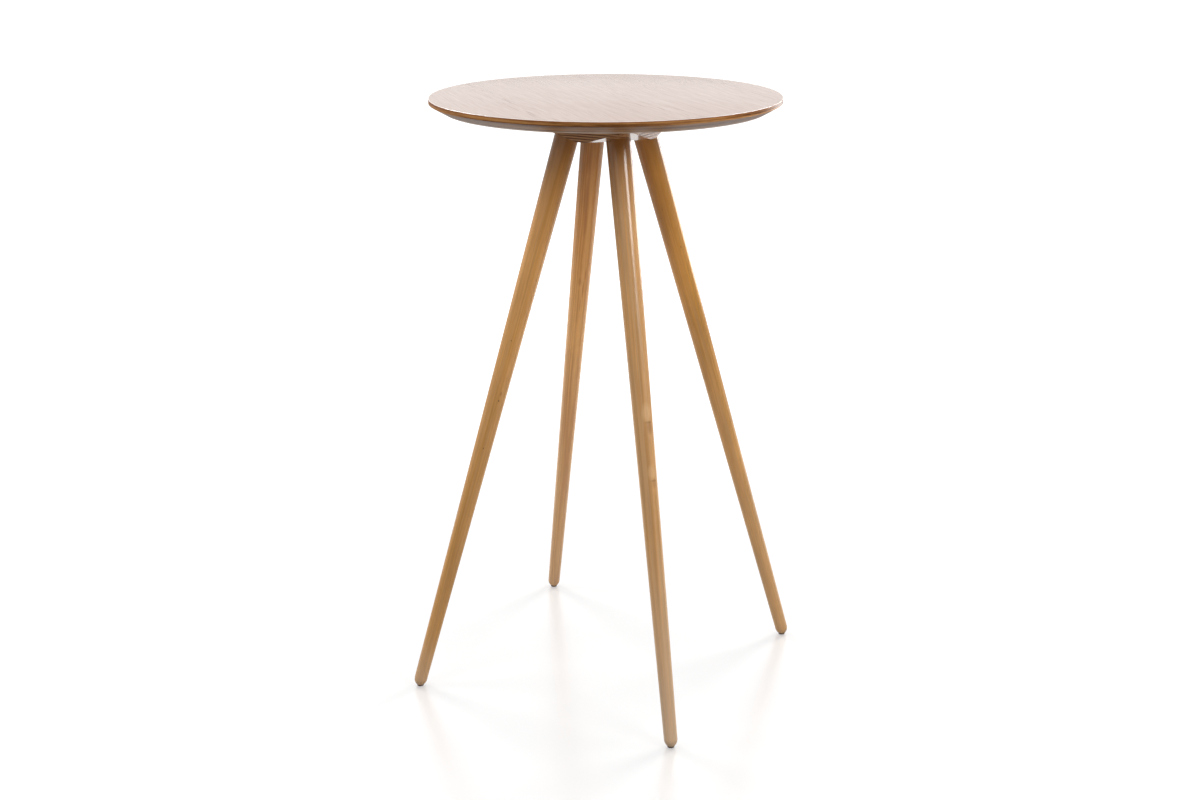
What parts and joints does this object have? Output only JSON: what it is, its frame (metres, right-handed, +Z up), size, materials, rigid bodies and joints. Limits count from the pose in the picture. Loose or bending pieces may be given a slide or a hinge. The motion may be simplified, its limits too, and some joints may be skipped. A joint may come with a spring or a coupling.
{
  "type": "round bar table",
  "caption": "Tall round table: thin veneered top with a bevelled lower edge, square plywood hub and splayed tapered round legs on glides, for standing at.",
  "frame": {"origin": "on the floor, below the middle of the round top", "axes": "+Z up, legs on the diagonals between X and Y, the hub's sides square to X and Y"},
  "size_m": [0.5999, 0.6, 1.05],
  "materials": {
    "face_veneer": "pale sliced veneer under satin clear lacquer",
    "back_veneer": "plain balancing veneer under matt clear lacquer",
    "plywood": "birch plywood, cut edges showing the plies, satin clear lacquer",
    "leg_wood": "turned hardwood under satin clear lacquer",
    "zinc_steel": "zinc plated",
    "insert_alloy": "yellow passivated",
    "glide_plastic": "dark brown moulded"
  },
  "bodies": {
    "root": {"top_face_veneer": "face_veneer", "top_core": "plywood", "top_back_veneer": "back_veneer", "hub_upper_board": "plywood", "hub_middle_board": "plywood", "hub_lower_board": "plywood", "leg_front_right": "leg_wood", "leg_back_right": "leg_wood", "leg_back_left": "leg_wood", "leg_front_left": "leg_wood", "hanger_bolt_front_right": "zinc_steel", "hanger_bolt_back_right": "zinc_steel", "hanger_bolt_back_left": "zinc_steel", "hanger_bolt_front_left": "zinc_steel", "threaded_insert_front_right": "insert_alloy", "threaded_insert_back_right": "insert_alloy", "threaded_insert_back_left": "insert_alloy", "threaded_insert_front_left": "insert_alloy", "foot_glide_front_right": "glide_plastic", "foot_glide_back_right": "glide_plastic", "foot_glide_back_left": "glide_plastic", "foot_glide_front_left": "glide_plastic", "glide_nail_front_right": "zinc_steel", "glide_nail_back_right": "zinc_steel", "glide_nail_back_left": "zinc_steel", "glide_nail_front_left": "zinc_steel", "hub_screws": "zinc_steel"}
  },
  "joints": []
}
